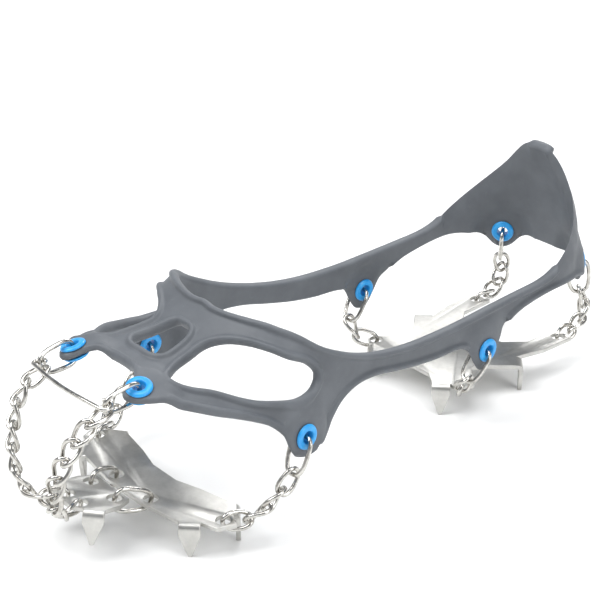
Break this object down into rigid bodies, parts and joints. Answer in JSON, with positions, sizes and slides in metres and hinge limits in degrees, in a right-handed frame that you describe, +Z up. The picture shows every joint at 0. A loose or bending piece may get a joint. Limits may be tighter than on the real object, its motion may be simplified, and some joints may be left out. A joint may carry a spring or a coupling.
{
  "type": "shoe ice cleats",
  "caption": "Stretch harness with moulded eyelets that carries curb chains and hinged sheet-steel spike plates under a boot for grip on ice and packed snow.",
  "frame": {"origin": "on the centre line at the level of the boot's tread, between the forefoot plate and the heel plate", "axes": "+Y towards the heel, -Y towards the toe, +Z up the leg, +X is the wearer's left"},
  "size_m": [0.1184, 0.3052, 0.1045],
  "materials": {
    "elastomer": "matte moulded, bluish grey",
    "blue_moulding": "smooth moulded blue",
    "polished_wire": "polished stainless wire",
    "sheet_steel": "satin stainless sheet with sheared edges"
  },
  "bodies": {
    "harness": {"harness": "elastomer", "toe_eyelet_left": "blue_moulding", "side_eyelet_left": "blue_moulding", "arch_eyelet_left": "blue_moulding", "heel_eyelet_left": "blue_moulding", "toe_eyelet_right": "blue_moulding", "side_eyelet_right": "blue_moulding", "arch_eyelet_right": "blue_moulding", "heel_eyelet_right": "blue_moulding"},
    "toe_connector_left": {"toe_connector_left": "polished_wire"},
    "toe_chain_left": {"toe_chain_left_1": "polished_wire", "toe_chain_left_2": "polished_wire", "toe_chain_left_3": "polished_wire", "toe_chain_left_4": "polished_wire", "toe_chain_left_5": "polished_wire", "toe_chain_left_6": "polished_wire", "toe_chain_left_7": "polished_wire", "toe_chain_left_8": "polished_wire"},
    "side_connector_left": {"side_connector_left": "polished_wire"},
    "side_chain_left": {"side_chain_left_1": "polished_wire", "side_chain_left_2": "polished_wire", "side_chain_left_3": "polished_wire", "side_chain_left_4": "polished_wire"},
    "arch_connector_left": {"arch_connector_left": "polished_wire"},
    "arch_chain_left": {"arch_chain_left_1": "polished_wire", "arch_chain_left_2": "polished_wire"},
    "heel_connector_left": {"heel_connector_left": "polished_wire"},
    "heel_chain_left": {"heel_chain_left_1": "polished_wire", "heel_chain_left_2": "polished_wire", "heel_chain_left_3": "polished_wire", "heel_chain_left_4": "polished_wire"},
    "toe_connector_right": {"toe_connector_right": "polished_wire"},
    "toe_chain_right": {"toe_chain_right_1": "polished_wire", "toe_chain_right_2": "polished_wire", "toe_chain_right_3": "polished_wire", "toe_chain_right_4": "polished_wire", "toe_chain_right_5": "polished_wire", "toe_chain_right_6": "polished_wire", "toe_chain_right_7": "polished_wire", "toe_chain_right_8": "polished_wire"},
    "side_connector_right": {"side_connector_right": "polished_wire"},
    "side_chain_right": {"side_chain_right_1": "polished_wire", "side_chain_right_2": "polished_wire", "side_chain_right_3": "polished_wire", "side_chain_right_4": "polished_wire"},
    "arch_connector_right": {"arch_connector_right": "polished_wire"},
    "arch_chain_right": {"arch_chain_right_1": "polished_wire", "arch_chain_right_2": "polished_wire"},
    "heel_connector_right": {"heel_connector_right": "polished_wire"},
    "heel_chain_right": {"heel_chain_right_1": "polished_wire", "heel_chain_right_2": "polished_wire", "heel_chain_right_3": "polished_wire", "heel_chain_right_4": "polished_wire"},
    "toe_bar": {"toe_bar": "polished_wire"},
    "plate_link_left": {"plate_link_left": "polished_wire"},
    "plate_link_right": {"plate_link_right": "polished_wire"},
    "front_plate": {"front_plate": "sheet_steel"},
    "forefoot_plate": {"forefoot_plate": "sheet_steel"},
    "heel_plate": {"heel_plate": "sheet_steel"}
  },
  "joints": [
    {"name": "toe_connector_left_swing", "type": "hinge", "parent": "harness", "child": "toe_connector_left", "pos_m": [0.02209, -0.12095, 0.05986], "axis": [-0.0001, -0.9968, -0.0803], "range_deg": [-8, 8]},
    {"name": "toe_chain_left_swing", "type": "hinge", "parent": "harness", "child": "toe_chain_left", "pos_m": [0.01299, -0.12896, 0.03283], "axis": [-0.319, -0.1008, -0.9424], "range_deg": [-5, 5]},
    {"name": "side_connector_left_swing", "type": "hinge", "parent": "harness", "child": "side_connector_left", "pos_m": [0.05321, -0.05867, 0.02412], "axis": [0.1002, -0.4208, -0.9016], "range_deg": [-8, 8]},
    {"name": "side_chain_left_swing", "type": "hinge", "parent": "harness", "child": "side_chain_left", "pos_m": [0.04894, -0.07541, 0.0098], "axis": [-0.285, -0.83, -0.4795], "range_deg": [-5, 5]},
    {"name": "arch_connector_left_swing", "type": "hinge", "parent": "harness", "child": "arch_connector_left", "pos_m": [0.03993, 0.05869, 0.01766], "axis": [-0.0923, -0.54, -0.8366], "range_deg": [-8, 8]},
    {"name": "arch_chain_left_swing", "type": "hinge", "parent": "harness", "child": "arch_chain_left", "pos_m": [0.03453, 0.05819, 0.00684], "axis": [-0.6333, 0.4518, -0.6284], "range_deg": [-4, 4]},
    {"name": "heel_connector_left_swing", "type": "hinge", "parent": "harness", "child": "heel_connector_left", "pos_m": [0.02512, 0.14539, 0.02921], "axis": [0.1132, 0.1026, -0.9883], "range_deg": [-8, 8]},
    {"name": "heel_chain_left_swing", "type": "hinge", "parent": "harness", "child": "heel_chain_left", "pos_m": [0.02639, 0.13787, 0.01229], "axis": [0.0449, -0.5493, -0.8344], "range_deg": [-4, 4]},
    {"name": "toe_connector_right_swing", "type": "hinge", "parent": "harness", "child": "toe_connector_right", "pos_m": [-0.02209, -0.12095, 0.05986], "axis": [0.0001, -0.9968, -0.0803], "range_deg": [-8, 8]},
    {"name": "toe_chain_right_swing", "type": "hinge", "parent": "harness", "child": "toe_chain_right", "pos_m": [-0.01299, -0.12896, 0.03283], "axis": [0.319, -0.1008, -0.9424], "range_deg": [-5, 5]},
    {"name": "side_connector_right_swing", "type": "hinge", "parent": "harness", "child": "side_connector_right", "pos_m": [-0.05321, -0.05867, 0.02412], "axis": [-0.1002, -0.4208, -0.9016], "range_deg": [-8, 8]},
    {"name": "side_chain_right_swing", "type": "hinge", "parent": "harness", "child": "side_chain_right", "pos_m": [-0.04894, -0.07541, 0.0098], "axis": [0.285, -0.83, -0.4795], "range_deg": [-5, 5]},
    {"name": "arch_connector_right_swing", "type": "hinge", "parent": "harness", "child": "arch_connector_right", "pos_m": [-0.03993, 0.05869, 0.01766], "axis": [0.0923, -0.54, -0.8366], "range_deg": [-8, 8]},
    {"name": "arch_chain_right_swing", "type": "hinge", "parent": "harness", "child": "arch_chain_right", "pos_m": [-0.03453, 0.05819, 0.00684], "axis": [0.6333, 0.4518, -0.6284], "range_deg": [-4, 4]},
    {"name": "heel_connector_right_swing", "type": "hinge", "parent": "harness", "child": "heel_connector_right", "pos_m": [-0.02512, 0.14539, 0.02921], "axis": [-0.1132, 0.1026, -0.9883], "range_deg": [-8, 8]},
    {"name": "heel_chain_right_swing", "type": "hinge", "parent": "harness", "child": "heel_chain_right", "pos_m": [-0.02639, 0.13787, 0.01229], "axis": [-0.0449, -0.5493, -0.8344], "range_deg": [-4, 4]},
    {"name": "toe_bar_swing", "type": "hinge", "parent": "harness", "child": "toe_bar", "pos_m": [0, -0.12944, 0.06063], "axis": [1, 0, 0], "range_deg": [-6, 4]},
    {"name": "plate_link_left_swing", "type": "hinge", "parent": "harness", "child": "plate_link_left", "pos_m": [0.0102, -0.11044, 0.00343], "axis": [0.2306, 0.9271, -0.2955], "range_deg": [-8, 8]},
    {"name": "plate_link_right_swing", "type": "hinge", "parent": "harness", "child": "plate_link_right", "pos_m": [-0.0102, -0.11044, 0.00343], "axis": [-0.2306, 0.9271, -0.2955], "range_deg": [-8, 8]},
    {"name": "front_plate_swing", "type": "hinge", "parent": "harness", "child": "front_plate", "pos_m": [0, -0.12501, 0.00684], "axis": [1, 0, 0], "range_deg": [-4, 4]},
    {"name": "forefoot_plate_swing", "type": "hinge", "parent": "harness", "child": "forefoot_plate", "pos_m": [0, -0.0965, 0.001], "axis": [1, 0, 0], "range_deg": [-3, 3]},
    {"name": "heel_plate_swing", "type": "hinge", "parent": "harness", "child": "heel_plate", "pos_m": [0, 0.0623, 0.001], "axis": [1, 0, 0], "range_deg": [-0.4, 0.4]}
  ]
}
